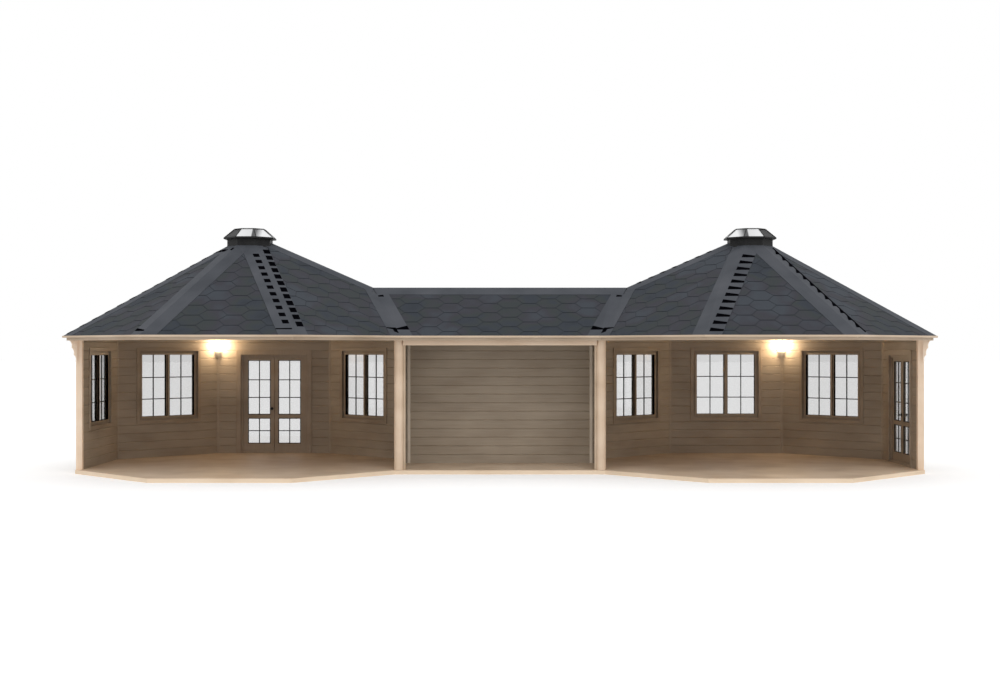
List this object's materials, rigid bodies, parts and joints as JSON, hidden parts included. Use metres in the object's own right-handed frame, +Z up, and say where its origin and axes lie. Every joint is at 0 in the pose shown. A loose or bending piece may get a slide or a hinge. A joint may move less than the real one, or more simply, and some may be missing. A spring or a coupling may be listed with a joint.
{
  "type": "twin-pavilion log cabin",
  "caption": "Wide log cabin: octagonal open-fronted pavilions joined by a recessed link, with shingled roofs, skylight caps, windows and hinged double doors.",
  "frame": {"origin": "on the ground, under the middle of the link between the pavilions", "axes": "+X along the cabin to the right-hand pavilion, -Y to the open front, +Z up"},
  "size_m": [14.4436, 5.7678, 4.1481],
  "materials": {
    "pine_logs": "planed, oiled",
    "pine_trim": "planed, oiled",
    "floor_boards": "planed",
    "roof_boards": "sawn",
    "shingle": "mineral granules",
    "dark_joinery": "dark stain",
    "dark_metal": "satin",
    "black_iron": "satin",
    "glass": "clear",
    "lamp_glass": "opal"
  },
  "bodies": {
    "cabin": {"corner_brackets": "pine_trim", "eave_beams": "pine_trim", "eave_strips": "shingle", "end_posts": "pine_trim", "fascia_boards": "pine_trim", "hip_caps": "shingle", "left_back_inner_wall": "pine_logs", "left_back_outer_wall": "pine_logs", "left_back_wall_beside_door": "pine_logs", "left_back_wall_over_door": "pine_logs", "left_door_frame": "dark_joinery", "left_floor": "floor_boards", "left_link_wall": "pine_logs", "left_roof": "roof_boards", "left_side_wall": "pine_logs", "link_back_wall": "pine_logs", "link_floor": "floor_boards", "link_head_beams": "pine_trim", "link_jambs": "pine_trim", "link_posts": "pine_trim", "link_roof": "roof_boards", "ridge_caps": "shingle", "right_back_inner_wall": "pine_logs", "right_back_outer_wall": "pine_logs", "right_back_wall": "pine_logs", "right_door_frame": "dark_joinery", "right_floor": "floor_boards", "right_link_wall": "pine_logs", "right_roof": "roof_boards", "right_side_wall_beside_door": "pine_logs", "right_side_wall_over_door": "pine_logs", "skylight_curbs": "dark_metal", "skylight_frames": "dark_metal", "skylight_glass": "glass", "valley_strips": "shingle", "wall_lamps": "lamp_glass", "window_frames": "dark_joinery", "window_glass": "glass"},
    "left_outer_leaf": {"left_door_outer_leaf": "dark_joinery", "left_door_outer_glass": "glass", "left_door_outer_knobs": "black_iron"},
    "left_inner_leaf": {"left_door_inner_leaf": "dark_joinery", "left_door_inner_glass": "glass"},
    "right_rear_leaf": {"right_door_rear_leaf": "dark_joinery", "right_door_rear_glass": "glass", "right_door_rear_knobs": "black_iron"},
    "right_front_leaf": {"right_door_front_leaf": "dark_joinery", "right_door_front_glass": "glass"}
  },
  "joints": [
    {"name": "left_outer_leaf_hinge", "type": "hinge", "parent": "cabin", "child": "left_outer_leaf", "pos_m": [-4.94342, 2.69792, 1], "axis": [0, 0, 1], "range_deg": [0, 110]},
    {"name": "left_inner_leaf_hinge", "type": "hinge", "parent": "cabin", "child": "left_inner_leaf", "pos_m": [-3.73242, 2.69792, 1], "axis": [0, 0, -1], "range_deg": [0, 110]},
    {"name": "right_rear_leaf_hinge", "type": "hinge", "parent": "cabin", "child": "right_rear_leaf", "pos_m": [7.03584, 0.6055, 1], "axis": [0, 0, 1], "range_deg": [0, 110]},
    {"name": "right_front_leaf_hinge", "type": "hinge", "parent": "cabin", "child": "right_front_leaf", "pos_m": [7.03584, -0.6055, 1], "axis": [0, 0, -1], "range_deg": [0, 110]}
  ]
}
